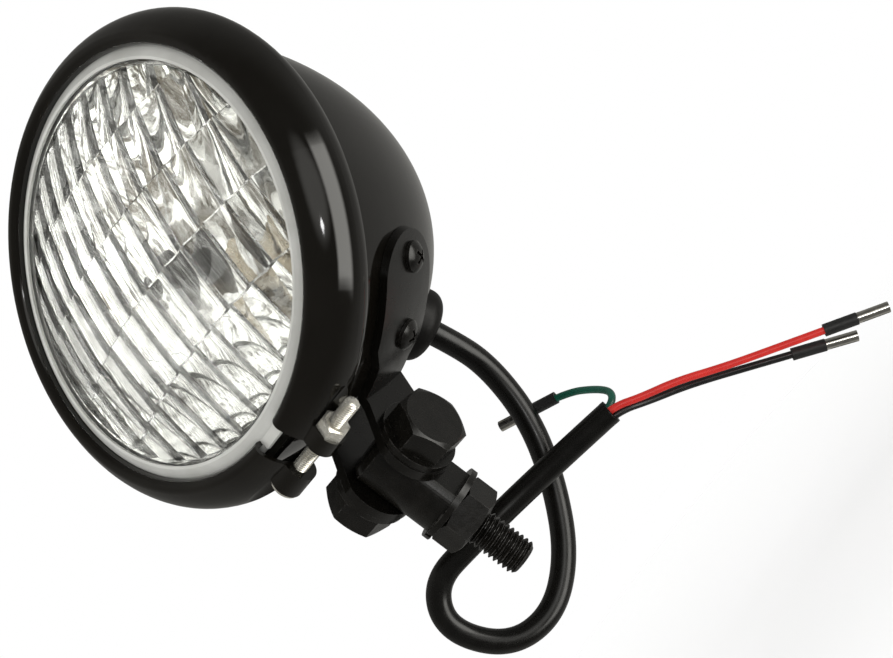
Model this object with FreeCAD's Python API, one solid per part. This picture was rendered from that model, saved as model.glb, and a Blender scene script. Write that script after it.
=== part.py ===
import FreeCAD, Part
import math
import os

V = FreeCAD.Vector

# Motorcycle headlamp on a swivel stud, in millimetres.
# The part stands on its stud: +Z up along the stud, -Y forward, +X to the rider's left.
# The origin is on the stud's axis, at the lower face of the stud nut.
# The lamp's own pieces are drawn in the lamp frame, with y back along the beam's axis and the
# origin in the middle of the rim's opening, and are then tilted about the pivot.

# Aim of the lamp and place of the pivot in the lamp frame
AIM_UP = 30.4
PIVOT_Y = 35.75
PIVOT_DROP = 12.63

# Clamp rim: a rolled channel, split at the bottom
OPENING_R = 55.5
RIM_WALL = 1.2
RIM_BREADTH = 9.25
RIM_CROWN_Y = 9.5
RIM_FRONT_CURVE = 13.65
RIM_LIP_CURVE = 2.3
RIM_BACK_CURVE = 6.8
RIM_CORNER_CURVE = 1.6
RIM_BACK_Y = 14.0
RIM_BACK_REACH = 4.95
LIP_RETURN = 0.6
RIM_GAP = 9.6
GAP_X = 2.8
HEAD_LUG_LENGTH = 7.5
NUT_LUG_LENGTH = 5.3
LUG_R = 4.4
CLAMP_Y = 8.4
POCKET_R = 4.8
CLAMP_SCREW_R = 2.0
CLAMP_SCREW_PAST_NUT = 8.3
CLAMP_HEAD_R = 4.0
CLAMP_HEAD_H = 2.6
CLAMP_NUT_AF = 7.0
CLAMP_NUT_H = 3.2

# Bowl-shaped shell: half an ellipsoid with a rolled front edge
SHELL_INSET = 2.7
SHELL_FULLNESS = 1.4335
SHELL_WALL = 1.2
FLANGE_INSET = 3.45
FLANGE_FLAT_FIT = 0.15
FLANGE_FIT = 0.1

# Lamp unit: fluted lens, crimped ring, seal and reflector
LENS_INSET = 1.2
LENS_EDGE_WIDTH = 2.3
LENS_EDGE_Y = 0.3
LENS_SAG = 12.0
LENS_SEAT_Y = 5.0
GLASS = 2.6
FLUTE_MARGIN = 2.0
FLUTE_PITCH = 8.0
FLUTE_BULGE = 1.1
ROW_PITCH = 19.05
ROW_LEAN = 0.06
SEAL_THICK = 0.6
RING_WALL = 0.8
RING_REACH = 2.1
TAB_WIDTH = 8.6
TAB_LENGTH = 2.9
TAB_THICK = 1.0
REFLECTOR_WALL = 1.0
REFLECTOR_INSET = 3.3
REFLECTOR_FULLNESS = 3.0
REFLECTOR_FLANGE_INSET = 0.5
COLLAR_R = 10.5
COLLAR_LENGTH = 3.0
COLLAR_FLANGE_R = 14.5

# Bulb, its retaining ring and its socket
BULB_FIT = 0.2
BULB_BASE_R = 9.0
BULB_BASE_FORWARD = 9.5
BULB_FLANGE_R = 13.0
BULB_FLANGE_H = 1.2
BULB_CAP_R = 7.0
BULB_CAP_H = 3.5
BULB_GLASS_R = 6.2
BULB_GLASS_H = 32.0
RETAINER_LIP_R = 11.0
RETAINER_H = 1.3
SOCKET_R = 10.4
SOCKET_H = 10.0
SOCKET_OUTLET_R = 4.0
SOCKET_OUTLET_LENGTH = 5.3
INNER_LEAD_R = 2.5

# Two bracket arms, screwed to the shell, with ears on the pivot
ARM_THICK = 2.5
ARM_FIT = 0.15
ARM_Y = 37.0
ARM_MIDDLE = 36.0
ARM_UPPER_DEGREES = 48.0
ARM_LOWER_DEGREES = 27.0
ARM_HALF = 12.0
ARM_TOP_REACH = 6.8
ARM_TAPER_DROP = 2.3
ARM_TAPER = 5.5
ARM_NECK_HALF = 8.5
ARM_FOOT = 27.0
EAR_THICK = 2.8
EAR_R = 10.9
EAR_FIT = 0.05
PIVOT_FIT = 0.1
ARM_SCREW_R = 2.0
ARM_SCREW_HOLE_R = 2.2
ARM_SCREW_HEAD_R = 4.1
ARM_SCREW_HEAD_H = 2.6
ARM_SCREW_PAST_NUT = 1.2
ARM_NUT_AF = 7.0
ARM_NUT_H = 3.2
ARM_NUT_FIT = 0.25
RECESS_WIDTH = 0.9
RECESS_SPAN = 4.4
RECESS_DEPTH = 1.5
DRILL_LENGTH = 14.0

# Swivel stud, its nut and washers, and the pivot bolts
BARREL_R = 9.0
BARREL_FLAT = 7.4
BARREL_TOP = 7.4
BARREL_CHAMFER = 1.8
SHOULDER_DROP = 16.6
STUD_R = 5.0
STUD_PITCH_R = 4.6
STUD_FREE = 15.1
STUD_CHAMFER = 1.1
NUT_AF = 17.0
NUT_H = 8.0
NUT_TURN = -20.0
LOCK_WASHER_R = 10.7
LOCK_WASHER_BORE_R = 5.2
LOCK_WASHER_H = 1.7
LOCK_WASHER_SLIT = 1.6
LOCK_WASHER_SKEW = 20.0
THREAD_FIT = 0.05
PIVOT_BOLT_R = 5.0
PIVOT_BOLT_PAST_NUT = 1.5
PIVOT_HEAD_AF = 17.0
PIVOT_HEAD_H = 7.3
PIVOT_HEAD_TURN = 17.0
PIVOT_NUT_H = 8.0
PIVOT_NUT_TURN = -8.0
FLAT_WASHER_R = 10.5
FLAT_WASHER_H = 2.0
HEX_CHAMFER = 0.9

# Rubber grommet at the lower back of the shell
GROMMET_BACK = 12.0
GROMMET_R = 10.4
GROMMET_H = 6.1
GROMMET_SEAT = 0.3
GROMMET_NECK_R = 6.8
GROMMET_NECK_FIT = 0.2
GROMMET_INNER_R = 8.5
GROMMET_INNER_H = 2.0
GROMMET_INNER_DROP = 2.2

# Cable sheath, wires, crimp sleeves and bullet connectors
SHEATH_R = 3.5
SHEATH_FIT = 0.1
MOUTH_R = 2.6
MOUTH_DEPTH = 4.0
WIRE_R = 1.05
WIRE_LAY_R = 1.35
SLEEVE_R = 1.75
SLEEVE_LENGTH = 9.5
SLEEVE_FIT = 0.05
CRIMP_LENGTH = 3.0
BULLET_R = 1.55
BULLET_WALL = 0.35
BULLET_LENGTH = 9.0
BULLET_BOTTOM = 1.0
BULLET_SLIT = 0.5
ARC_SHARE = 0.45

# Route of the sheath after its straight stretch out of the grommet, in the part frame
SHEATH_LEAVES = 12.0
SHEATH_ROUTE = [
    (-1.5, 59.8, 18.4),
    (-5.1, 56.6, 0.0),
    (-11.3, 47.7, -16.2),
    (-19.4, 35.7, -30.2),
    (-29.0, 23.2, -36.4),
    (-38.0, 12.1, -31.1),
    (-41.8, 6.9, -14.5),
    (-35.0, 11.5, -4.1),
    (-21.8, 19.1, -5.4),
    (-1.9, 36.4, -9.7),
    (19.7, 48.1, -13.8),
]
# For each wire: its place round the sheath's mouth in degrees, its straight stretch past the
# mouth, and its route from there
WIRES = {
    "red": (240, 1.5, [
        (26.2, 52.0, -17.7),
        (33.7, 57.7, -22.8),
        (41.8, 66.0, -31.5),
        (54.6, 74.6, -41.4),
        (61.7, 78.8, -46.6),
    ]),
    "black": (0, 1.5, [
        (24.9, 55.7, -20.9),
        (31.9, 63.4, -27.3),
        (43.3, 73.4, -38.7),
        (50.4, 77.5, -44.7),
    ]),
    "green": (120, 0.5, [
        (20.3, 54.9, -11.8),
        (13.5, 61.3, -9.0),
        (2.1, 67.0, -4.2),
        (-0.8, 66.2, -3.0),
    ]),
}

# Sizes and places that follow from the ones above
SIDES = (1, -1)
RIM_CROWN_R = OPENING_R + RIM_BREADTH
RIM_BACK_LIP_R = RIM_CROWN_R - RIM_BACK_REACH
CLAMP_R = RIM_CROWN_R
HEAD_SEAT_X = GAP_X - RIM_GAP / 2 - HEAD_LUG_LENGTH
NUT_SEAT_X = GAP_X + RIM_GAP / 2 + NUT_LUG_LENGTH
FLANGE_R = RIM_CROWN_R - FLANGE_INSET
FLANGE_FLAT = CLAMP_R - POCKET_R - RIM_WALL - FLANGE_FLAT_FIT
SHELL_R = FLANGE_R - SHELL_INSET
SHELL_DEPTH = SHELL_R * SHELL_FULLNESS
LENS_EDGE_R = OPENING_R - LENS_INSET
LENS_R = LENS_EDGE_R - LENS_EDGE_WIDTH
FLUTE_FIELD_R = LENS_R - FLUTE_MARGIN
RING_OUTER_R = OPENING_R + RING_REACH
TAB_REACH = OPENING_R + TAB_LENGTH
REFLECTOR_RIM_R = LENS_EDGE_R - REFLECTOR_INSET
REFLECTOR_FOCUS = REFLECTOR_RIM_R / REFLECTOR_FULLNESS
REFLECTOR_FLANGE_R = FLANGE_R - REFLECTOR_FLANGE_INSET
PIVOT_Z = -SHELL_R - PIVOT_DROP
PIVOT_HEIGHT = NUT_H + LOCK_WASHER_H + SHOULDER_DROP
EAR_INSIDE = BARREL_FLAT + EAR_FIT
EAR_OUTSIDE = EAR_INSIDE + EAR_THICK
GROMMET_Y = SHELL_DEPTH - GROMMET_BACK
SHAPES = {}


def keep(name, shape):
    """File one finished piece, or a group of like pieces, under its name."""
    SHAPES[name] = shape.removeSplitter() if len(shape.Solids) == 1 else shape


def in_lamp(shape):
    """Tilt a piece drawn in the lamp frame about the pivot and set it on the stud."""
    placed = shape.copy()
    placed.translate(V(0, -PIVOT_Y, -PIVOT_Z))
    placed.rotate(V(0, 0, 0), V(1, 0, 0), -AIM_UP)
    placed.translate(V(0, 0, PIVOT_HEIGHT))
    return placed


def point_in_lamp(point):
    """Carry a point of the lamp frame into the part frame."""
    moved = FreeCAD.Rotation(V(1, 0, 0), -AIM_UP).multVec(point - V(0, PIVOT_Y, PIVOT_Z))
    return moved + V(0, 0, PIVOT_HEIGHT)


def keep_in_lamp(name, shape):
    keep(name, in_lamp(shape))


def group(shapes):
    return Part.makeCompound(shapes)


def line(a, b):
    return Part.LineSegment(V(*a), V(*b)).toShape()


def arc(centre, radius, start, end):
    """Arc in the XY plane between two angles in degrees."""
    marks = []
    for angle in (start, (start + end) / 2, end):
        turn = math.radians(angle)
        marks.append(V(centre[0] + radius * math.cos(turn), centre[1] + radius * math.sin(turn), 0))
    return Part.Arc(*marks).toShape()


def polygon(points):
    return Part.Face(Part.makePolygon([V(*p) for p in points + points[:1]]))


def turned(face):
    """Turn a section with x as its radius about the Y axis."""
    return face.revolve(V(0, 0, 0), V(0, 1, 0), 360)


def turned_points(points):
    return turned(polygon([(r, y, 0) for r, y in points]))


def aligned(shape, base, direction):
    """Move a piece drawn along Z to a base point and a direction."""
    placed = shape.copy()
    placed.Placement = FreeCAD.Placement(base, FreeCAD.Rotation(V(0, 0, 1), direction)).multiply(placed.Placement)
    return placed


def tube(outer, inner, height):
    return Part.makeCylinder(outer, height).cut(Part.makeCylinder(inner, height))


def hexagon(across_flats, height, ends):
    """Hexagon prism along Z, with its corners turned down at the given ends."""
    corner = across_flats / math.sqrt(3)
    points = [(corner * math.cos(math.radians(a)), corner * math.sin(math.radians(a)), 0) for a in range(0, 360, 60)]
    prism = polygon(points).extrude(V(0, 0, height))
    drop = (corner - across_flats / 2 + HEX_CHAMFER / 2) / 2
    low = drop if "low" in ends else 0
    high = drop if "high" in ends else 0
    face_r = across_flats / 2 - HEX_CHAMFER / 2
    outline = [
        (0, 0, 0),
        (face_r if low else corner, 0, 0),
        (corner, 0, low),
        (corner, 0, height - high),
        (face_r if high else corner, 0, height),
        (0, 0, height),
    ]
    outline = [p for i, p in enumerate(outline) if p != outline[i - 1]]
    blank = polygon(outline).revolve(V(0, 0, 0), V(0, 0, 1), 360)
    return prism.common(blank)


def pan_head(radius, height):
    """Pan head along Z with a cross recess."""
    edge = height * 0.35
    rise = height - edge
    dome = (radius ** 2 + rise ** 2) / (2 * rise)
    blank = Part.makeCylinder(radius, height)
    blank = blank.common(Part.makeSphere(dome, V(0, 0, height - dome)))
    for length, width in ((RECESS_SPAN, RECESS_WIDTH), (RECESS_WIDTH, RECESS_SPAN)):
        slot = Part.makeBox(length, width, RECESS_DEPTH, V(-length / 2, -width / 2, height - RECESS_DEPTH))
        blank = blank.cut(slot)
    return blank


def split_washer(outer, inner, height):
    """Spring washer along Z with a skewed slit."""
    slit = Part.makeBox(outer * 2, LOCK_WASHER_SLIT, height * 3, V(0, -LOCK_WASHER_SLIT / 2, -height * 1.5))
    slit.rotate(V(0, 0, 0), V(1, 0, 0), LOCK_WASHER_SKEW)
    slit.translate(V(0, 0, height / 2))
    return tube(outer, inner, height).cut(slit)


def ellipsoid_radius(y, grow=0):
    return (SHELL_R + grow) * math.sqrt(1 - (y / (SHELL_DEPTH + grow)) ** 2)


def ellipse_edge(grow, y_from, y_to):
    """Stretch of the shell's section, grown outwards, between two depths."""
    depth = SHELL_DEPTH + grow
    curve = Part.Ellipse(V(0, depth, 0), V(SHELL_R + grow, 0, 0), V(0, 0, 0))
    angles = sorted(math.acos(y / depth) for y in (y_from, y_to))
    return Part.ArcOfEllipse(curve, *angles).toShape()


def on_shell(angle, y):
    """Point of the shell and its normal, at an angle from straight down and a depth."""
    turn = math.radians(angle)
    r = ellipsoid_radius(y)
    point = V(r * math.sin(turn), y, -r * math.cos(turn))
    normal = V(point.x / SHELL_R ** 2, point.y / SHELL_DEPTH ** 2, point.z / SHELL_R ** 2)
    return point, normal.normalize()


def rim_centres():
    """Centres of the four arcs of the rim's section, and the angles where they join."""
    front = (RIM_CROWN_R - RIM_FRONT_CURVE, RIM_CROWN_Y)
    reach = RIM_FRONT_CURVE - RIM_LIP_CURVE
    lip_r = OPENING_R + RIM_LIP_CURVE
    lip = (lip_r, RIM_CROWN_Y - math.sqrt(reach ** 2 - (lip_r - front[0]) ** 2))
    lip_angle = 360 + math.degrees(math.atan2(lip[1] - front[1], lip[0] - front[0]))
    back = (RIM_CROWN_R - RIM_BACK_CURVE, RIM_CROWN_Y)
    rise = RIM_BACK_Y - RIM_CORNER_CURVE - RIM_CROWN_Y
    corner = (back[0] + math.sqrt((RIM_BACK_CURVE - RIM_CORNER_CURVE) ** 2 - rise ** 2), RIM_CROWN_Y + rise)
    corner_angle = math.degrees(math.atan2(rise, corner[0] - back[0]))
    return lip, front, back, corner, lip_angle, corner_angle


def rim_track(inset):
    """Edges of the rim's section from the lip to the back, moved in by an inset."""
    lip, front, back, corner, lip_angle, corner_angle = rim_centres()
    start_r = OPENING_R + inset
    return [
        line((start_r, lip[1] + LIP_RETURN, 0), (start_r, lip[1], 0)),
        arc(lip, RIM_LIP_CURVE - inset, 180, lip_angle),
        arc(front, RIM_FRONT_CURVE - inset, lip_angle, 360),
        arc(back, RIM_BACK_CURVE - inset, 0, corner_angle),
        arc(corner, RIM_CORNER_CURVE - inset, corner_angle, 90),
        line((corner[0], RIM_BACK_Y - inset, 0), (RIM_BACK_LIP_R, RIM_BACK_Y - inset, 0)),
    ]


def section(edges):
    return Part.Face(Part.Wire(Part.__sortEdges__(edges)))


def rim_envelope(inset):
    """Solid of turn that fills the rim's channel out to the inset outline."""
    lip_end = rim_centres()[0][1] + LIP_RETURN
    closing = [
        line((RIM_BACK_LIP_R, RIM_BACK_Y - inset, 0), (0, RIM_BACK_Y - inset, 0)),
        line((0, RIM_BACK_Y - inset, 0), (0, lip_end, 0)),
        line((0, lip_end, 0), (OPENING_R + inset, lip_end, 0)),
    ]
    return turned(section(rim_track(inset) + closing))


def rim_channel():
    lip_end = rim_centres()[0][1] + LIP_RETURN
    closing = [
        line((OPENING_R, lip_end, 0), (OPENING_R + RIM_WALL, lip_end, 0)),
        line((RIM_BACK_LIP_R, RIM_BACK_Y, 0), (RIM_BACK_LIP_R, RIM_BACK_Y - RIM_WALL, 0)),
    ]
    return turned(section(rim_track(0) + rim_track(RIM_WALL) + closing))


def clamp_bar(radius, x_from, x_to):
    """Round bar on the clamp screw's line between two x values."""
    low, high = sorted((x_from, x_to))
    return Part.makeCylinder(radius, high - low, V(low, CLAMP_Y, -CLAMP_R), V(1, 0, 0))


def clamp_lug(side):
    """Lug at one end of the split rim: a rounded block that reaches in to the rim's wall."""
    low, high = sorted((GAP_X + side * RIM_GAP / 2, NUT_SEAT_X if side > 0 else HEAD_SEAT_X))
    block = Part.makeBox(high - low, 2 * LUG_R, LUG_R, V(low, CLAMP_Y - LUG_R, -CLAMP_R))
    return block.fuse(clamp_bar(LUG_R, low, high))


def clamp_rim():
    envelope = rim_envelope(0)
    inside = rim_envelope(RIM_WALL)
    rim = rim_channel()
    for side, seat in zip(SIDES, (NUT_SEAT_X, HEAD_SEAT_X)):
        far = side * RIM_CROWN_R
        scoop_wall = clamp_bar(POCKET_R + RIM_WALL, seat - side * RIM_WALL, far).common(envelope)
        rim = rim.fuse(scoop_wall)
        rim = rim.fuse(clamp_lug(side).cut(inside))
        rim = rim.cut(clamp_bar(POCKET_R, seat, far))
    corner = V(GAP_X - RIM_GAP / 2, -RIM_BACK_Y / 2, -CLAMP_R - LUG_R)
    rim = rim.cut(Part.makeBox(RIM_GAP, RIM_BACK_Y * 2, RIM_CROWN_R, corner))
    return rim.cut(clamp_bar(CLAMP_SCREW_R + THREAD_FIT * 3, HEAD_SEAT_X - 1, NUT_SEAT_X + 1))


def rim_screw():
    length = NUT_SEAT_X - HEAD_SEAT_X + CLAMP_NUT_H + CLAMP_SCREW_PAST_NUT
    shank = Part.makeCylinder(CLAMP_SCREW_R, length)
    shank = shank.makeChamfer(CLAMP_SCREW_R * 0.2, [shank.Edges[0]])
    head = pan_head(CLAMP_HEAD_R, CLAMP_HEAD_H)
    head.rotate(V(0, 0, 0), V(1, 0, 0), 180)
    return aligned(shank.fuse(head), V(HEAD_SEAT_X, CLAMP_Y, -CLAMP_R), V(1, 0, 0))


def rim_nut():
    nut = hexagon(CLAMP_NUT_AF, CLAMP_NUT_H, ("high",))
    nut = nut.cut(Part.makeCylinder(CLAMP_SCREW_R + THREAD_FIT, CLAMP_NUT_H))
    return aligned(nut, V(NUT_SEAT_X, CLAMP_Y, -CLAMP_R), V(1, 0, 0))


def flange_flat():
    """Block below the flat that clears the clamp screw at the bottom of the flanges."""
    return Part.makeBox(4 * FLANGE_R, RIM_BACK_Y, FLANGE_R, V(-2 * FLANGE_R, 0, -FLANGE_FLAT - FLANGE_R))


def flange_front():
    """Depth of the plane where the reflector's flange meets the shell's."""
    return LENS_SEAT_Y + SEAL_THICK + REFLECTOR_WALL


def headlamp_shell():
    front = flange_front()
    shoulder = front + SHELL_WALL
    return_end = RIM_BACK_Y - RIM_WALL - FLANGE_FIT
    lip_in = FLANGE_R - SHELL_WALL
    inner_front = ellipsoid_radius(front, -SHELL_WALL)
    outer_front = ellipsoid_radius(shoulder)
    edges = [
        line((0, SHELL_DEPTH - SHELL_WALL, 0), (0, SHELL_DEPTH, 0)),
        ellipse_edge(0, SHELL_DEPTH, shoulder),
        line((outer_front, shoulder, 0), (lip_in, shoulder, 0)),
        line((lip_in, shoulder, 0), (lip_in, return_end, 0)),
        line((lip_in, return_end, 0), (FLANGE_R, return_end, 0)),
        line((FLANGE_R, return_end, 0), (FLANGE_R, front, 0)),
        line((FLANGE_R, front, 0), (inner_front, front, 0)),
        ellipse_edge(-SHELL_WALL, front, SHELL_DEPTH - SHELL_WALL),
    ]
    shell = turned(section(edges)).cut(flange_flat())
    for centre, normal in arm_screw_places():
        shell = shell.cut(drill(ARM_SCREW_HOLE_R, centre, normal))
    centre, normal = on_shell(0, GROMMET_Y)
    return shell.cut(drill(GROMMET_NECK_R + GROMMET_NECK_FIT, centre, normal))


def along(shape, point, normal, offset):
    """Stand a piece drawn along Z on a normal of the shell, at an offset from the point."""
    return aligned(shape, point + normal * offset, normal)


def drill(radius, centre, normal):
    """Round hole through a wall at a point of the shell."""
    return along(Part.makeCylinder(radius, DRILL_LENGTH), centre, normal, -DRILL_LENGTH / 2)


def dome_radius():
    return (LENS_R ** 2 + LENS_SAG ** 2) / (2 * LENS_SAG)


def dome(grow):
    """Ball whose front is the lens's dome, moved back by an amount."""
    centre_y = LENS_EDGE_Y - LENS_SAG + dome_radius()
    return Part.makeSphere(dome_radius() - grow, V(0, centre_y, 0))


def flute_back(x, z):
    """Depth of the flutes' valleys behind the dome."""
    centre_y = LENS_EDGE_Y - LENS_SAG + dome_radius()
    return centre_y - math.sqrt((dome_radius() - GLASS) ** 2 - x ** 2 - z ** 2)


def flute_row(low, high):
    """Space behind one row of upright flutes, between two heights."""
    middle = (low + high) / 2
    count = 2 * math.ceil(FLUTE_FIELD_R / FLUTE_PITCH - 0.5) + 1
    start = -count * FLUTE_PITCH / 2
    edges = []
    for i in range(count):
        x0 = start + i * FLUTE_PITCH
        x1 = x0 + FLUTE_PITCH
        a = V(x0, flute_back(x0, middle), low)
        b = V(x1, flute_back(x1, middle), low)
        crest = (a + b) * 0.5 + V(0, FLUTE_BULGE, 0)
        edges.append(Part.Arc(a, crest, b).toShape())
    first = edges[0].Vertexes[0].Point
    last = edges[-1].Vertexes[-1].Point
    back_y = LENS_SEAT_Y + LENS_SAG + REFLECTOR_WALL
    corners = [last, V(last.x, back_y, low), V(first.x, back_y, low), first]
    for a, b in zip(corners, corners[1:]):
        edges.append(Part.LineSegment(a, b).toShape())
    slope = middle / dome_radius() + ROW_LEAN
    face = Part.Face(Part.Wire(edges))
    face.translate(V(0, -slope * (high - low) / 2, 0))
    return face.extrude(V(0, slope * (high - low), high - low))


def lens():
    blank = Part.makeCylinder(LENS_EDGE_R, LENS_SAG * 2, V(0, LENS_SEAT_Y - LENS_SAG * 2, 0), V(0, 1, 0))
    glass = blank.common(dome(0))
    field = Part.makeCylinder(FLUTE_FIELD_R, LENS_SAG * 3, V(0, -LENS_SAG * 2, 0), V(0, 1, 0))
    borders = [-1.5 * ROW_PITCH, -0.5 * ROW_PITCH, 0.5 * ROW_PITCH, 1.5 * ROW_PITCH]
    borders = [-FLUTE_FIELD_R - 1] + borders + [FLUTE_FIELD_R + 1]
    for low, high in zip(borders, borders[1:]):
        glass = glass.cut(flute_row(low, high).common(field))
    return glass


def lens_ring():
    """Crimped ring over the edge of the lens, with the locating tab in the rim's gap."""
    lip = rim_centres()[0]
    under_lip = lip[1] + LIP_RETURN
    flange = LENS_SEAT_Y + SEAL_THICK
    outline = [
        (LENS_R, LENS_EDGE_Y - RING_WALL - 0.2),
        (LENS_R + RING_WALL, LENS_EDGE_Y - RING_WALL - 0.3),
        (OPENING_R - 0.4, under_lip - 0.3),
        (OPENING_R, under_lip),
        (RING_OUTER_R - RING_WALL, under_lip + 0.1),
        (RING_OUTER_R, under_lip + RING_WALL),
        (RING_OUTER_R, flange),
        (RING_OUTER_R - RING_WALL, flange),
        (RING_OUTER_R - RING_WALL, under_lip + RING_WALL + 0.2),
        (OPENING_R, under_lip + RING_WALL),
        (LENS_EDGE_R, under_lip + RING_WALL / 2),
        (LENS_R, LENS_EDGE_Y - 0.2),
    ]
    ring = turned_points(outline).cut(dome(-FLANGE_FIT))
    tab = Part.makeBox(TAB_WIDTH, TAB_THICK, TAB_REACH - OPENING_R, V(GAP_X - TAB_WIDTH / 2, under_lip, -TAB_REACH))
    return ring.fuse(tab)


def lens_seal():
    return turned_points([
        (FLUTE_FIELD_R + 1, LENS_SEAT_Y),
        (LENS_EDGE_R, LENS_SEAT_Y),
        (LENS_EDGE_R, LENS_SEAT_Y + SEAL_THICK),
        (FLUTE_FIELD_R + 1, LENS_SEAT_Y + SEAL_THICK),
    ])


def bowl_depth(r):
    """Depth of the reflector's parabola at a radius."""
    return LENS_SEAT_Y + SEAL_THICK + (REFLECTOR_RIM_R ** 2 - r ** 2) / (4 * REFLECTOR_FOCUS)


def bowl_edge(grow):
    """Parabola of the reflector's section from the rim to the collar, moved out by its wall."""
    steps = 8
    curve = Part.BSplineCurve()
    points = []
    for i in range(steps + 1):
        r = REFLECTOR_RIM_R + (COLLAR_R - REFLECTOR_RIM_R) * i / steps
        slope = r / (2 * REFLECTOR_FOCUS)
        lean = math.sqrt(1 + slope ** 2)
        points.append(V(r + grow * slope / lean, bowl_depth(r) + grow / lean, 0))
    curve.interpolate(points)
    return curve.toShape(), points[0], points[-1]


def collar_end():
    return bowl_depth(COLLAR_R) + COLLAR_LENGTH


def reflector():
    inner, inner_rim, inner_hole = bowl_edge(0)
    outer, outer_rim, outer_hole = bowl_edge(REFLECTOR_WALL)
    end = collar_end()
    seat = end - REFLECTOR_WALL
    front = LENS_SEAT_Y + SEAL_THICK
    back = flange_front()
    corners = [
        (outer_hole.x, outer_hole.y, 0),
        (outer_hole.x, seat, 0),
        (COLLAR_FLANGE_R, seat, 0),
        (COLLAR_FLANGE_R, end, 0),
        (COLLAR_R, end, 0),
        (inner_hole.x, inner_hole.y, 0),
    ]
    edges = [inner, outer] + [line(a, b) for a, b in zip(corners, corners[1:])]
    dish = turned(section(edges + [line(tuple(inner_rim), tuple(outer_rim))]))
    flange = turned_points([
        (REFLECTOR_RIM_R, front),
        (REFLECTOR_FLANGE_R, front),
        (REFLECTOR_FLANGE_R, back),
        (REFLECTOR_RIM_R, back),
    ])
    return dish.fuse(flange).cut(flange_flat())


def turned_solid_y(steps):
    """Stack of discs on the lamp's axis, each a (radius, from, to) step."""
    solids = [Part.makeCylinder(r, y1 - y0, V(0, y0, 0), V(0, 1, 0)) for r, y0, y1 in steps]
    shape = solids[0]
    for solid in solids[1:]:
        shape = shape.fuse(solid)
    return shape


def bulb_base():
    end = collar_end()
    flange_end = end + BULB_FLANGE_H
    return turned_solid_y([
        (BULB_BASE_R, end - BULB_BASE_FORWARD, end),
        (BULB_FLANGE_R, end, flange_end),
        (BULB_CAP_R, flange_end, flange_end + BULB_CAP_H),
    ])


def bulb_glass():
    root = collar_end() - BULB_BASE_FORWARD
    tip = root - BULB_GLASS_H
    stem = Part.makeCylinder(BULB_GLASS_R, BULB_GLASS_H - BULB_GLASS_R, V(0, tip + BULB_GLASS_R, 0), V(0, 1, 0))
    cap = Part.makeSphere(BULB_GLASS_R, V(0, tip + BULB_GLASS_R, 0))
    half = Part.makeBox(3 * BULB_GLASS_R, BULB_GLASS_R * 2, 3 * BULB_GLASS_R)
    half.translate(V(-1.5 * BULB_GLASS_R, tip - BULB_GLASS_R, -1.5 * BULB_GLASS_R))
    return stem.fuse(cap.common(half))


def bulb_retainer():
    """Ring that holds the bulb's flange against the reflector's collar."""
    end = collar_end()
    lip = end + BULB_FLANGE_H
    side = BULB_FLANGE_R + BULB_FIT
    return turned_points([
        (side, end),
        (COLLAR_FLANGE_R, end),
        (COLLAR_FLANGE_R, lip + RETAINER_H),
        (RETAINER_LIP_R, lip + RETAINER_H),
        (RETAINER_LIP_R, lip),
        (side, lip),
    ])


def bulb_socket():
    front = collar_end() + BULB_FLANGE_H + BULB_FIT
    body = turned_solid_y([(SOCKET_R, front, front + SOCKET_H)])
    hollow = turned_solid_y([(BULB_CAP_R + BULB_FIT, front, front + BULB_CAP_H)])
    centre, normal = on_shell(0, GROMMET_Y)
    outlet = Part.makeCylinder(SOCKET_OUTLET_R, SOCKET_OUTLET_LENGTH + SOCKET_R / 2)
    outlet = along(outlet, centre, normal, -inner_lead_length() - SOCKET_OUTLET_LENGTH - SOCKET_R / 2)
    keep_out = turned_solid_y([(COLLAR_FLANGE_R * 2, 0, front + RETAINER_H)])
    return body.fuse(outlet.cut(keep_out)).cut(hollow)


def inner_lead_length():
    """Distance from the grommet to the socket's outlet."""
    centre, normal = on_shell(0, GROMMET_Y)
    return (centre.z + SOCKET_R) / normal.z - SOCKET_OUTLET_LENGTH


def inner_lead():
    centre, normal = on_shell(0, GROMMET_Y)
    length = inner_lead_length()
    return along(Part.makeCylinder(INNER_LEAD_R, length), centre, normal, -length)


def arm_screw_places():
    """Centres and normals of the four bracket screws on the shell."""
    places = []
    for side in SIDES:
        for angle in (ARM_UPPER_DEGREES, ARM_LOWER_DEGREES):
            places.append(on_shell(side * angle, ARM_Y))
    return places


def arm_layer():
    """Layer of sheet that follows the shell outside the arm's fit."""
    near = ARM_Y - 2 * ARM_HALF
    far = ARM_Y + 2 * ARM_HALF
    grown = ARM_FIT + ARM_THICK
    edges = [
        ellipse_edge(ARM_FIT, near, far),
        ellipse_edge(grown, near, far),
        line((ellipsoid_radius(near, ARM_FIT), near, 0), (ellipsoid_radius(near, grown), near, 0)),
        line((ellipsoid_radius(far, ARM_FIT), far, 0), (ellipsoid_radius(far, grown), far, 0)),
    ]
    return turned(section(edges))


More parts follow.
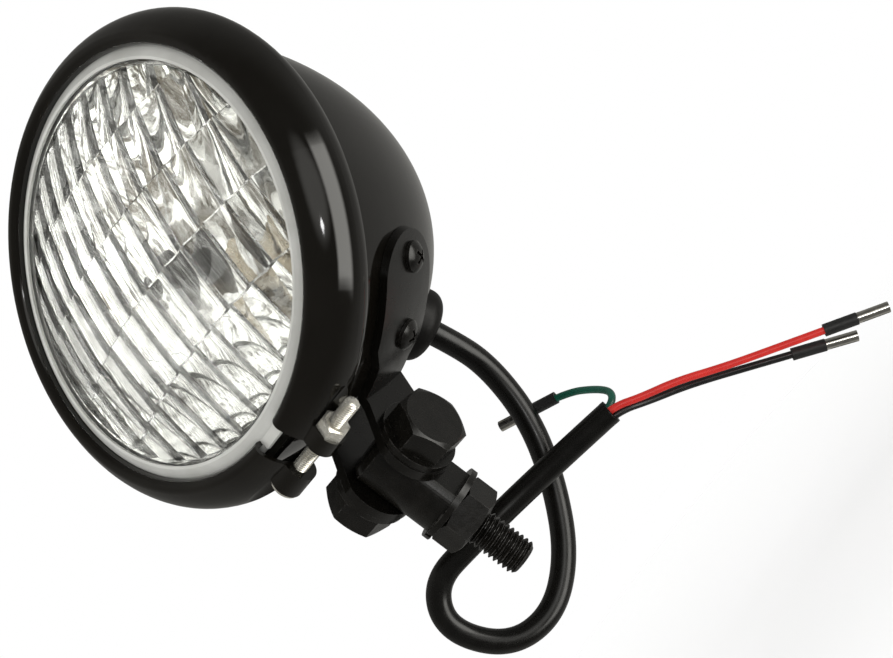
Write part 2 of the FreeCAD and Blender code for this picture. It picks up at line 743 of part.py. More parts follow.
def arm_outline():
    """Prism of the arm's outline, square to the shell at the arm's middle."""
    mid = math.radians(ARM_MIDDLE)
    out = V(math.sin(mid), 0, -math.cos(mid))
    up = V(math.cos(mid), 0, math.sin(mid))
    base = out * (SHELL_R / 2) + V(0, ARM_Y, 0)
    reach = ellipsoid_radius(ARM_Y, ARM_FIT + ARM_THICK)
    top = reach * math.sin(math.radians(ARM_UPPER_DEGREES - ARM_MIDDLE)) + ARM_TOP_REACH - ARM_HALF
    wide = reach * math.sin(math.radians(ARM_LOWER_DEGREES - ARM_MIDDLE)) - ARM_TAPER_DROP
    marks = [
        (-ARM_FOOT, -ARM_NECK_HALF),
        (wide - ARM_TAPER, -ARM_NECK_HALF),
        (wide, -ARM_HALF),
        (top, -ARM_HALF),
    ]
    left = [base + up * u + V(0, v, 0) for u, v in marks]
    right = [base + up * u + V(0, -v, 0) for u, v in reversed(marks)]
    edges = [Part.LineSegment(a, b).toShape() for a, b in zip(left, left[1:])]
    edges.append(Part.Arc(left[-1], base + up * (top + ARM_HALF), right[0]).toShape())
    edges += [Part.LineSegment(a, b).toShape() for a, b in zip(right, right[1:])]
    edges.append(Part.LineSegment(right[-1], left[0]).toShape())
    return Part.Face(Part.Wire(edges)).extrude(out * SHELL_R)


def ear():
    """Flat ear of one arm, from the shell down to its round end on the pivot."""
    top = -ellipsoid_radius(ARM_Y) / 2
    low = V(EAR_INSIDE, PIVOT_Y - EAR_R, PIVOT_Z)
    high = V(EAR_INSIDE, PIVOT_Y + EAR_R, PIVOT_Z)
    neck_front = V(EAR_INSIDE, ARM_Y - ARM_NECK_HALF, -SHELL_R)
    neck_back = V(EAR_INSIDE, ARM_Y + ARM_NECK_HALF, -SHELL_R)
    neck_rise = V(0, 0, SHELL_R + top)
    corners = [low, neck_front, neck_front + neck_rise, neck_back + neck_rise, neck_back, high]
    edges = [Part.LineSegment(a, b).toShape() for a, b in zip(corners, corners[1:])]
    edges.append(Part.Arc(high, V(EAR_INSIDE, PIVOT_Y, PIVOT_Z - EAR_R), low).toShape())
    plate = Part.Face(Part.Wire(edges)).extrude(V(EAR_THICK, 0, 0))
    depth = SHELL_DEPTH + ARM_FIT
    near_shell = Part.makeSphere(1)
    stretch = FreeCAD.Matrix()
    stretch.scale(SHELL_R + ARM_FIT, depth, SHELL_R + ARM_FIT)
    return plate.cut(near_shell.transformGeometry(stretch))


def bracket_arm():
    fork_space = Part.makeBox(SHELL_R, SHELL_DEPTH, SHELL_R * 2, V(EAR_INSIDE - SHELL_R, 0, -SHELL_R * 2))
    arm = arm_layer().common(arm_outline()).cut(fork_space).fuse(ear())
    for angle in (ARM_UPPER_DEGREES, ARM_LOWER_DEGREES):
        centre, normal = on_shell(angle, ARM_Y)
        arm = arm.cut(drill(ARM_SCREW_HOLE_R, centre, normal))
    hole = Part.makeCylinder(PIVOT_BOLT_R + PIVOT_FIT, EAR_THICK * 3, V(EAR_INSIDE - EAR_THICK, PIVOT_Y, PIVOT_Z), V(1, 0, 0))
    return arm.cut(hole)


def bracket_screws():
    grip = ARM_FIT + ARM_THICK
    inside = SHELL_WALL + ARM_NUT_FIT + ARM_NUT_H + ARM_SCREW_PAST_NUT
    shank = Part.makeCylinder(ARM_SCREW_R, grip + inside, V(0, 0, -inside))
    head = pan_head(ARM_SCREW_HEAD_R, ARM_SCREW_HEAD_H)
    head.translate(V(0, 0, grip))
    screw = shank.fuse(head)
    return group([along(screw, centre, normal, 0) for centre, normal in arm_screw_places()])


def bracket_nuts():
    nut = hexagon(ARM_NUT_AF, ARM_NUT_H, ("low",))
    nut = nut.cut(Part.makeCylinder(ARM_SCREW_R + THREAD_FIT, ARM_NUT_H))
    drop = -SHELL_WALL - ARM_NUT_FIT - ARM_NUT_H
    return group([along(nut, centre, normal, drop) for centre, normal in arm_screw_places()])


def cable_grommet():
    """Rubber grommet: a domed flange outside, a neck in the hole and a flange inside."""
    bore = SHEATH_R + SHEATH_FIT
    brim = GROMMET_H * 0.35
    outline = [
        line((bore, 0, -GROMMET_INNER_DROP - GROMMET_INNER_H), (GROMMET_INNER_R, 0, -GROMMET_INNER_DROP - GROMMET_INNER_H)),
        line((GROMMET_INNER_R, 0, -GROMMET_INNER_DROP - GROMMET_INNER_H), (GROMMET_INNER_R, 0, -GROMMET_INNER_DROP)),
        line((GROMMET_INNER_R, 0, -GROMMET_INNER_DROP), (GROMMET_NECK_R, 0, -GROMMET_INNER_DROP)),
        line((GROMMET_NECK_R, 0, -GROMMET_INNER_DROP), (GROMMET_NECK_R, 0, -GROMMET_SEAT)),
        line((GROMMET_NECK_R, 0, -GROMMET_SEAT), (GROMMET_R, 0, -GROMMET_SEAT)),
        line((GROMMET_R, 0, -GROMMET_SEAT), (GROMMET_R, 0, brim)),
        Part.Arc(V(GROMMET_R, 0, brim), V(GROMMET_R - 1.1, 0, GROMMET_H - 1.1), V(bore + 1.5, 0, GROMMET_H)).toShape(),
        line((bore + 1.5, 0, GROMMET_H), (bore, 0, GROMMET_H)),
        line((bore, 0, GROMMET_H), (bore, 0, -GROMMET_INNER_DROP - GROMMET_INNER_H)),
    ]
    shape = Part.Face(Part.Wire(outline)).revolve(V(0, 0, 0), V(0, 0, 1), 360)
    centre, normal = on_shell(0, GROMMET_Y)
    return along(shape, centre, normal, 0)


def swivel_stud():
    """Barrel with two milled flats and a cross bore, turned down to the threaded stud."""
    shoulder = PIVOT_HEIGHT - SHOULDER_DROP
    top = PIVOT_HEIGHT + BARREL_TOP
    outline = [
        (0, 0, -STUD_FREE),
        (STUD_R - STUD_CHAMFER, 0, -STUD_FREE),
        (STUD_R, 0, -STUD_FREE + STUD_CHAMFER),
        (STUD_R, 0, 0),
        (STUD_PITCH_R, 0, 0),
        (STUD_PITCH_R, 0, shoulder),
        (BARREL_R, 0, shoulder),
        (BARREL_R, 0, top - BARREL_CHAMFER),
        (BARREL_R - BARREL_CHAMFER, 0, top),
        (0, 0, top),
    ]
    stud = polygon(outline).revolve(V(0, 0, 0), V(0, 0, 1), 360)
    height = top + STUD_FREE
    slab = Part.makeBox(2 * BARREL_FLAT, 4 * BARREL_R, height, V(-BARREL_FLAT, -2 * BARREL_R, -STUD_FREE))
    bore = Part.makeCylinder(PIVOT_BOLT_R + THREAD_FIT, 4 * BARREL_R, V(-2 * BARREL_R, 0, PIVOT_HEIGHT), V(1, 0, 0))
    return stud.common(slab).cut(bore)


def stud_nut():
    nut = hexagon(NUT_AF, NUT_H, ("low", "high"))
    nut.rotate(V(0, 0, 0), V(0, 0, 1), NUT_TURN)
    return nut.cut(Part.makeCylinder(STUD_PITCH_R + THREAD_FIT, NUT_H))


def stud_lock_washer():
    washer = split_washer(LOCK_WASHER_R, LOCK_WASHER_BORE_R, LOCK_WASHER_H)
    washer.rotate(V(0, 0, 0), V(0, 0, 1), -115)
    washer.translate(V(0, 0, NUT_H))
    return washer


def on_pivot(shape, side, x):
    """Stand a piece drawn along Z on the pivot's axis, pointing outwards."""
    return aligned(shape, V(side * x, 0, PIVOT_HEIGHT), V(side, 0, 0))


def pivot_bolt():
    under_head = EAR_OUTSIDE + EAR_FIT + FLAT_WASHER_H
    length = 2 * under_head + PIVOT_NUT_H + PIVOT_BOLT_PAST_NUT
    shank = Part.makeCylinder(PIVOT_BOLT_R, length, V(0, 0, -length))
    head = hexagon(PIVOT_HEAD_AF, PIVOT_HEAD_H, ("high",))
    head.rotate(V(0, 0, 0), V(0, 0, 1), PIVOT_HEAD_TURN)
    return on_pivot(shank.fuse(head), 1, under_head)


def pivot_nut():
    nut = hexagon(PIVOT_HEAD_AF, PIVOT_NUT_H, ("low", "high"))
    nut.rotate(V(0, 0, 0), V(0, 0, 1), PIVOT_NUT_TURN)
    nut = nut.cut(Part.makeCylinder(PIVOT_BOLT_R + THREAD_FIT, PIVOT_NUT_H))
    return on_pivot(nut, -1, EAR_OUTSIDE + EAR_FIT + FLAT_WASHER_H)


def pivot_flat_washers():
    washer = tube(FLAT_WASHER_R, PIVOT_BOLT_R + PIVOT_FIT * 3, FLAT_WASHER_H)
    return group([on_pivot(washer, side, EAR_OUTSIDE + EAR_FIT) for side in SIDES])


def cord_path(points):
    """Straight runs joined by tangent arcs, each as large as its two runs allow."""
    edges = []
    radii = []
    start = points[0]
    for before, corner, after in zip(points, points[1:], points[2:]):
        go_in = (corner - before).normalize()
        go_out = (after - corner).normalize()
        half_turn = go_in.getAngle(go_out) / 2
        trim = ARC_SHARE * min((corner - before).Length, (after - corner).Length)
        radius = trim / math.tan(half_turn)
        inside = (go_out - go_in).normalize()
        enter = corner - go_in * trim
        leave = corner + go_out * trim
        middle = corner + inside * (radius / math.cos(half_turn) - radius)
        edges.append(Part.LineSegment(start, enter).toShape())
        edges.append(Part.Arc(enter, middle, leave).toShape())
        radii.append(round(radius, 1))
        start = leave
    edges.append(Part.LineSegment(start, points[-1]).toShape())
    return Part.Wire(edges), radii


def cord(name, points, radius):
    """Tube along a route, with its radii and its volume against section times length."""
    path, radii = cord_path(points)
    heading = (points[1] - points[0]).normalize()
    ring = Part.Wire(Part.makeCircle(radius, points[0], heading))
    shape = path.makePipeShell([ring], True, True)
    ratio = shape.Volume / (math.pi * radius ** 2 * path.Length)
    print(name, "length", round(path.Length, 1), "radii", radii, "volume ratio", round(ratio, 4))
    return shape


def sheath_points():
    centre, normal = on_shell(0, GROMMET_Y)
    start = point_in_lamp(centre)
    heading = point_in_lamp(centre + normal) - start
    return [start, start + heading * SHEATH_LEAVES] + [V(*p) for p in SHEATH_ROUTE]


def mouth_frame():
    """End of the sheath, its heading, and the two directions across its mouth."""
    points = sheath_points()
    end = points[-1]
    heading = (end - points[-2]).normalize()
    down = (V(0, 0, -1) - heading * heading.dot(V(0, 0, -1))).normalize()
    return end, heading, down, heading.cross(down)


def cable_sheath():
    end, heading, down, across = mouth_frame()
    mouth = Part.makeCylinder(MOUTH_R, MOUTH_DEPTH * 2, end - heading * MOUTH_DEPTH, heading)
    return cord("cable_sheath", sheath_points(), SHEATH_R).cut(mouth)


def wire_points(place, leaves, route):
    """Route of a wire from the bottom of the sheath's mouth to its sleeve."""
    end, heading, down, across = mouth_frame()
    turn = math.radians(place)
    beside = end + (down * math.cos(turn) + across * math.sin(turn)) * WIRE_LAY_R
    return [beside - heading * MOUTH_DEPTH, beside + heading * leaves] + [V(*p) for p in route]


def bullet():
    """Bullet connector along Z: a crimped stem and a split hollow barrel."""
    barrel = Part.makeCylinder(BULLET_R, BULLET_LENGTH, V(0, 0, CRIMP_LENGTH))
    floor = CRIMP_LENGTH + BULLET_BOTTOM
    hollow = Part.makeCylinder(BULLET_R - BULLET_WALL, BULLET_LENGTH, V(0, 0, floor))
    slit = Part.makeBox(BULLET_R * 2, BULLET_SLIT, BULLET_LENGTH, V(0, -BULLET_SLIT / 2, floor))
    return barrel.cut(hollow).cut(slit).fuse(Part.makeCylinder(WIRE_R, CRIMP_LENGTH))


def wire_set(colour, place, leaves, route):
    """One wire with its crimp sleeve and its bullet connector."""
    points = wire_points(place, leaves, route)
    end = points[-1]
    tail = (end - points[-2]).normalize()
    buried = SLEEVE_LENGTH - CRIMP_LENGTH
    wire = cord("wire_" + colour, points[:-1] + [end + tail * buried], WIRE_R)
    keep("wire_" + colour, wire)
    sleeve = tube(SLEEVE_R, WIRE_R + SLEEVE_FIT, SLEEVE_LENGTH)
    keep("sleeve_" + colour, aligned(sleeve, end, tail))
    keep("bullet_" + colour, aligned(bullet(), end + tail * buried, tail))


def build():
    keep("swivel_stud", swivel_stud())
    keep("stud_nut", stud_nut())
    keep("stud_lock_washer", stud_lock_washer())
    keep("pivot_bolts", pivot_bolt())
    keep("pivot_nut", pivot_nut())
    keep("pivot_flat_washers", pivot_flat_washers())
    left = bracket_arm()
    keep_in_lamp("bracket_left", left)
    keep_in_lamp("bracket_right", left.mirror(V(0, 0, 0), V(1, 0, 0)))
    lamp_pieces = (
        headlamp_shell, clamp_rim, rim_screw, rim_nut, lens, lens_ring, lens_seal, reflector,
        bulb_base, bulb_glass, bulb_retainer, bulb_socket, inner_lead,
        bracket_screws, bracket_nuts, cable_grommet,
    )
    for make in lamp_pieces:
        keep_in_lamp(make.__name__, make())
    keep("cable_sheath", cable_sheath())
    for colour, (place, leaves, route) in WIRES.items():
        wire_set(colour, place, leaves, route)


build()
os.makedirs("parts", exist_ok=True)
for name, shape in SHAPES.items():
    solids = len(shape.Solids)
    print(name, "solids", solids, "volume", round(shape.Volume, 1), "valid", shape.isValid())
    shape.exportStep(os.path.join("parts", name + ".step"))
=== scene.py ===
import bpy
import bmesh
import math
from mathutils import Matrix, Vector


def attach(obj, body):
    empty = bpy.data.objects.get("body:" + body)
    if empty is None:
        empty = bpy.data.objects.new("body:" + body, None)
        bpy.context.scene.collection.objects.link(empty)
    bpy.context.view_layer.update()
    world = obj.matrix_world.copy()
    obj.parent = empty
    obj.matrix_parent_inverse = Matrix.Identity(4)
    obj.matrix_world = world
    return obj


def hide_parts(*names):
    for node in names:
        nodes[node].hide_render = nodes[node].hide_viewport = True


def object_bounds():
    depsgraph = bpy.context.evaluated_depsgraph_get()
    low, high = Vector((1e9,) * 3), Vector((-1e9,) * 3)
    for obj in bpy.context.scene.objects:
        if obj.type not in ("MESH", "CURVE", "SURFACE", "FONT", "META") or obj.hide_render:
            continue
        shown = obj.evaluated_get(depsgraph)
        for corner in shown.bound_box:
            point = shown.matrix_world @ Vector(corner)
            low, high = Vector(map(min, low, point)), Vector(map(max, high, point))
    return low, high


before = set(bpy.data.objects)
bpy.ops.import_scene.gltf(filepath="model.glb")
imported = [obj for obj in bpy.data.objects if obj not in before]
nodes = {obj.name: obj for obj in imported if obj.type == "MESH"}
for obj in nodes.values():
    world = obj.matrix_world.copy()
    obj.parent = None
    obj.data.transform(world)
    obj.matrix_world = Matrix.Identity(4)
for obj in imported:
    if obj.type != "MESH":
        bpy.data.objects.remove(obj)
cad_low, cad_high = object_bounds()

# Sizes in millimetres and degrees, as in the part's source
AIM_UP = 30.4
PIVOT_Y, PIVOT_Z, PIVOT_HEIGHT = 35.75, -71.23, 26.3
SHELL_R, SHELL_DEPTH = 58.6, 84.003
GROMMET_Y = SHELL_DEPTH - 12.0
LENS_R, LENS_SAG, LENS_EDGE_Y, LENS_EDGE_R, LENS_SEAT_Y = 52.0, 12.0, 0.3, 54.3, 5.0
GLASS, FLUTE_FIELD_R, FLUTE_PITCH, FLUTE_BULGE = 2.6, 50.0, 8.0, 1.1
ROW_PITCH, ROW_LEAN = 19.05, 0.06
SEAL_THICK, REFLECTOR_WALL = 0.6, 1.0
REFLECTOR_RIM_R, REFLECTOR_FOCUS, REFLECTOR_FLANGE_R = 51.0, 17.0, 60.8
FLANGE_FLAT = 58.6
COLLAR_R, COLLAR_LENGTH, COLLAR_FLANGE_R = 10.5, 3.0, 14.5
BULB_BASE_FORWARD, BULB_GLASS_R, BULB_GLASS_H = 9.5, 6.2, 32.0
HEAD_SEAT_X, CLAMP_Y, CLAMP_R = -9.5, 8.4, 64.75
CLAMP_SCREW_R, CLAMP_SCREW_LENGTH = 2.0, 33.9
STUD_R, STUD_FREE, STUD_CHAMFER = 5.0, 15.1, 1.1
SHEATH_R, MOUTH_R, MOUTH_DEPTH = 3.5, 2.6, 4.0
WIRE_R, WIRE_LAY_R = 1.05, 1.35
SLEEVE_LENGTH, CRIMP_LENGTH = 9.5, 3.0
SHEATH_LEAVES = 12.0
SHEATH_ROUTE = [
    (-1.5, 59.8, 18.4),
    (-5.1, 56.6, 0.0),
    (-11.3, 47.7, -16.2),
    (-19.4, 35.7, -30.2),
    (-29.0, 23.2, -36.4),
    (-38.0, 12.1, -31.1),
    (-41.8, 6.9, -14.5),
    (-35.0, 11.5, -4.1),
    (-21.8, 19.1, -5.4),
    (-1.9, 36.4, -9.7),
    (19.7, 48.1, -13.8),
]
# For each wire: its place round the mouth, its straight stretch, its length and its route
WIRES = {
    "red": (240, 1.5, 72.6, [
        (26.2, 52.0, -17.7),
        (33.7, 57.7, -22.8),
        (41.8, 66.0, -31.5),
        (54.6, 74.6, -41.4),
        (61.7, 78.8, -46.6),
    ]),
    "black": (0, 1.5, 62.9, [
        (24.9, 55.7, -20.9),
        (31.9, 63.4, -27.3),
        (43.3, 73.4, -38.7),
        (50.4, 77.5, -44.7),
    ]),
    "green": (120, 0.5, 42.2, [
        (20.3, 54.9, -11.8),
        (13.5, 61.3, -9.0),
        (2.1, 67.0, -4.2),
        (-0.8, 66.2, -3.0),
    ]),
}

# Sizes in millimetres that only the scene has: the bulb's dark tip and wall, the reflector's bright edge, threads
BULB_CAP, BULB_WALL = 22.0, 0.5
BRIGHT_PAST_RIM = 2.0
STUD_PITCH, CLAMP_SCREW_PITCH, CLAMP_SCREW_CHAMFER = 1.5, 0.7, 0.5
SEAM, HAIR = 0.02, 0.001

MM = 0.001
WELD = 2e-7
MILLIMETRE = Matrix.Scale(MM, 4)
LAMP_PLACE = (
    Matrix.Translation((0, 0, PIVOT_HEIGHT))
    @ Matrix.Rotation(math.radians(-AIM_UP), 4, "X")
    @ Matrix.Translation((0, -PIVOT_Y, -PIVOT_Z))
)
SCREW_PLACE = (
    LAMP_PLACE
    @ Matrix.Translation((HEAD_SEAT_X, CLAMP_Y, -CLAMP_R))
    @ Matrix.Rotation(math.pi / 2, 4, "Y")
)

# Camera, solved from the photo: pixels for the focal length, metres for the place
PHOTO_WIDTH, FOCAL_PIXELS, SENSOR = 893, 2181.3, 36.0
CAMERA_PLACE = (0.35545, -0.427135, 0.071209)
CAMERA_RIGHT = (0.51753, 0.3165, -0.79498)
CAMERA_UP = (0.62098, 0.50026, 0.60343)
CAMERA_BACK = (0.58868, -0.80596, 0.06236)


def add_camera():
    data = bpy.data.cameras.new("camera")
    data.sensor_fit = "HORIZONTAL"
    data.sensor_width = SENSOR
    data.lens = SENSOR * FOCAL_PIXELS / PHOTO_WIDTH
    data.clip_start, data.clip_end = 0.01, 50.0
    camera = bpy.data.objects.new("camera", data)
    turn = Matrix((CAMERA_RIGHT, CAMERA_UP, CAMERA_BACK)).transposed().to_4x4()
    camera.matrix_world = Matrix.Translation(CAMERA_PLACE) @ turn
    bpy.context.scene.collection.objects.link(camera)
    bpy.context.scene.camera = camera


# Shader helpers
def shade(tree, kind, inputs=None, **settings):
    """Add a shader node, set it up, and link or fill its inputs."""
    made = tree.nodes.new("ShaderNode" + kind)
    for key, value in settings.items():
        setattr(made, key, value)
    for key, value in (inputs or {}).items():
        if isinstance(value, bpy.types.NodeSocket):
            tree.links.new(value, made.inputs[key])
        else:
            made.inputs[key].default_value = value
    return made


def object_noise(tree, scale, detail):
    """Noise fixed to the object, as a socket."""
    place = shade(tree, "TexCoord")
    made = shade(tree, "TexNoise", {"Vector": place.outputs["Object"], "Scale": scale, "Detail": detail})
    return made.outputs["Fac"]


def stretch(tree, value, near, far, low=0.0, high=1.0, **settings):
    """A value between near and far, spread from low to high."""
    made = shade(tree, "MapRange", {
        "Value": value, "From Min": near, "From Max": far, "To Min": low, "To Max": high,
    }, **settings)
    return made.outputs["Result"]


def combine(tree, operation, first, second, **settings):
    return shade(tree, "Math", {0: first, 1: second}, operation=operation, **settings).outputs[0]


def blend_colour(tree, factor, first, second, **settings):
    """Mix of two colours, each a plain colour or a socket."""
    return shade(tree, "Mix", {0: factor, 6: first, 7: second}, data_type="RGBA", **settings).outputs[2]


def new_group(name, inputs, outputs):
    """Empty shader group with float inputs and the named outputs."""
    tree = bpy.data.node_groups.new(name, "ShaderNodeTree")
    for socket in inputs:
        tree.interface.new_socket(socket, in_out="INPUT", socket_type="NodeSocketFloat")
    for socket, kind in outputs.items():
        tree.interface.new_socket(socket, in_out="OUTPUT", socket_type="NodeSocket" + kind)
    return tree, tree.nodes.new("NodeGroupInput"), tree.nodes.new("NodeGroupOutput")


# Shared effects of the finishes, as node groups
BUMP_DISTANCE = 0.0001
WIDE_SHARE = 0.18


def make_mottle():
    """Cloudy change of a value over the surface, between a low and a high."""
    tree, given, out = new_group("mottle", ("Scale", "Detail", "Low", "High"), {"Value": "Float"})
    cloud = object_noise(tree, given.outputs["Scale"], given.outputs["Detail"])
    spread = stretch(tree, cloud, 0.32, 0.68, given.outputs["Low"], given.outputs["High"])
    tree.links.new(spread, out.inputs["Value"])
    return tree


def make_grain():
    """Fine unevenness of the surface, over a broader one."""
    tree, given, out = new_group("grain", ("Scale", "Strength"), {"Normal": "Vector"})
    fine = object_noise(tree, given.outputs["Scale"], 2.0)
    wide = object_noise(tree, combine(tree, "MULTIPLY", given.outputs["Scale"], WIDE_SHARE), 1.0)
    bump = shade(tree, "Bump", {
        "Height": combine(tree, "ADD", fine, wide),
        "Strength": given.outputs["Strength"], "Distance": BUMP_DISTANCE,
    })
    tree.links.new(bump.outputs["Normal"], out.inputs["Normal"])
    return tree


def masked(tree, where, scale, detail, near, far, amount):
    """Part of a mask, broken up by noise."""
    patchy = stretch(tree, object_noise(tree, scale, detail), near, far)
    return combine(tree, "MULTIPLY", combine(tree, "MULTIPLY", where, patchy), amount, use_clamp=True)


def make_edge_wear_and_highlight():
    """Mask of rubbed edges, in loose patches; where a finish gives them a light colour, they also act as painted
    edge highlights.
    """
    tree, given, out = new_group("edge_wear_and_highlight", ("Width", "Scale", "Amount"), {"Mask": "Float"})
    rounded = shade(tree, "Bevel", {"Radius": given.outputs["Width"]}, samples=4).outputs["Normal"]
    flat = shade(tree, "NewGeometry").outputs["Normal"]
    same = shade(tree, "VectorMath", {0: rounded, 1: flat}, operation="DOT_PRODUCT")
    edge = stretch(tree, same.outputs["Value"], 0.99, 0.8)
    rub_and_highlight_mask = masked(tree, edge, given.outputs["Scale"], 5.0, 0.42, 0.62, given.outputs["Amount"])
    tree.links.new(rub_and_highlight_mask, out.inputs["Mask"])
    return tree


def make_dust():
    """Mask of thin dust on the upper sides, in loose patches."""
    tree, given, out = new_group("dust", ("Scale", "Amount"), {"Mask": "Float"})
    facing = shade(tree, "NewGeometry")
    split = shade(tree, "SeparateXYZ", {"Vector": facing.outputs["Normal"]})
    upper = stretch(tree, split.outputs["Z"], 0.0, 1.0)
    laid = masked(tree, upper, given.outputs["Scale"], 8.0, 0.45, 0.75, given.outputs["Amount"])
    tree.links.new(laid, out.inputs["Mask"])
    return tree


def make_spun_lines():
    """Fine rings round the lamp's axis, as turning and rolling leave them."""
    tree, given, out = new_group("spun_lines", ("Scale", "Strength"), {"Normal": "Vector"})
    place = shade(tree, "TexCoord")
    back = LAMP_PLACE.inverted()
    move = shade(tree, "Mapping", {
        "Vector": place.outputs["Object"], "Location": back.to_translation() * MM, "Rotation": back.to_euler(),
    })
    split = shade(tree, "SeparateXYZ", {"Vector": move.outputs["Vector"]})
    flat = shade(tree, "CombineXYZ", {"X": split.outputs["X"], "Y": split.outputs["Z"]})
    radius = shade(tree, "VectorMath", {0: flat.outputs["Vector"]}, operation="LENGTH")
    track = shade(tree, "CombineXYZ", {"X": radius.outputs["Value"], "Y": split.outputs["Y"]})
    lines = shade(tree, "TexNoise", {
        "Vector": track.outputs["Vector"], "Scale": given.outputs["Scale"], "Detail": 4.0,
    })
    bump = shade(tree, "Bump", {
        "Height": lines.outputs["Fac"], "Strength": given.outputs["Strength"], "Distance": BUMP_DISTANCE,
    })
    tree.links.new(bump.outputs["Normal"], out.inputs["Normal"])
    return tree


GROUPS = {
    "mottle": make_mottle(),
    "grain": make_grain(),
    "edge_wear_and_highlight": make_edge_wear_and_highlight(),
    "dust": make_dust(),
    "spun_lines": make_spun_lines(),
}


def effect(tree, name, **values):
    made = tree.nodes.new("ShaderNodeGroup")
    made.node_tree = GROUPS[name]
    for key, value in values.items():
        made.inputs[key].default_value = value
    return made


def new_material(name):
    made = bpy.data.materials.new(name)
    made.use_nodes = True
    return made, made.node_tree, made.node_tree.nodes["Principled BSDF"]


# Finishes: two tones, uneven gloss, fine grain, and where asked rubbed edges (on the black steel partly painted
# edge highlights), dust and spun lines
RUB_AND_HIGHLIGHT_SCALE, DUST_SCALE = 700.0, 160.0
DUST_COLOUR = (0.42, 0.4, 0.36, 1)
GLOSS_FINER = 2.3
GLASS_IOR = 1.5


def finish(name, dark, light, rough, metal=0.0, ior=1.5, mottle=120.0, grain=(900.0, 0.05),
           rub_and_highlight=None, dust=0.0, spun=None):
    """Opaque finish."""
    made, tree, shader = new_material(name)
    tone = effect(tree, "mottle", Scale=mottle, Detail=4.0, Low=0.0, High=1.0)
    colour = blend_colour(tree, tone.outputs["Value"], (*dark, 1), (*light, 1))
    # Rubbed edges: real rub, and on the black steel also painted edge highlights.
    if rub_and_highlight:
        rub_and_highlight_colour, width, amount = rub_and_highlight
        rub_and_highlight_mask = effect(tree, "edge_wear_and_highlight", Width=width, Scale=RUB_AND_HIGHLIGHT_SCALE, Amount=amount)
        colour = blend_colour(tree, rub_and_highlight_mask.outputs["Mask"], colour, (*rub_and_highlight_colour, 1))
    if dust:
        laid = effect(tree, "dust", Scale=DUST_SCALE, Amount=dust)
        colour = blend_colour(tree, laid.outputs["Mask"], colour, DUST_COLOUR)
    tree.links.new(colour, shader.inputs["Base Color"])
    gloss = effect(tree, "mottle", Scale=mottle * GLOSS_FINER, Detail=3.0, Low=rough[0], High=rough[1])
    tree.links.new(gloss.outputs["Value"], shader.inputs["Roughness"])
    kind, (scale, strength) = ("spun_lines", spun) if spun else ("grain", grain)
    uneven = effect(tree, kind, Scale=scale, Strength=strength)
    tree.links.new(uneven.outputs["Normal"], shader.inputs["Normal"])
    shader.inputs["Metallic"].default_value = metal
    shader.inputs["IOR"].default_value = ior
    return made


def clear_glass(name, tint, ripple, alpha=1.0):
    made, tree, shader = new_material(name)
    shader.inputs["Base Color"].default_value = (*tint, 1)
    shader.inputs["Transmission Weight"].default_value = 1.0
    shader.inputs["Alpha"].default_value = alpha
    shader.inputs["Roughness"].default_value = 0.0
    shader.inputs["IOR"].default_value = GLASS_IOR
    uneven = effect(tree, "grain", Scale=ripple[0], Strength=ripple[1])
    tree.links.new(uneven.outputs["Normal"], shader.inputs["Normal"])
    return made


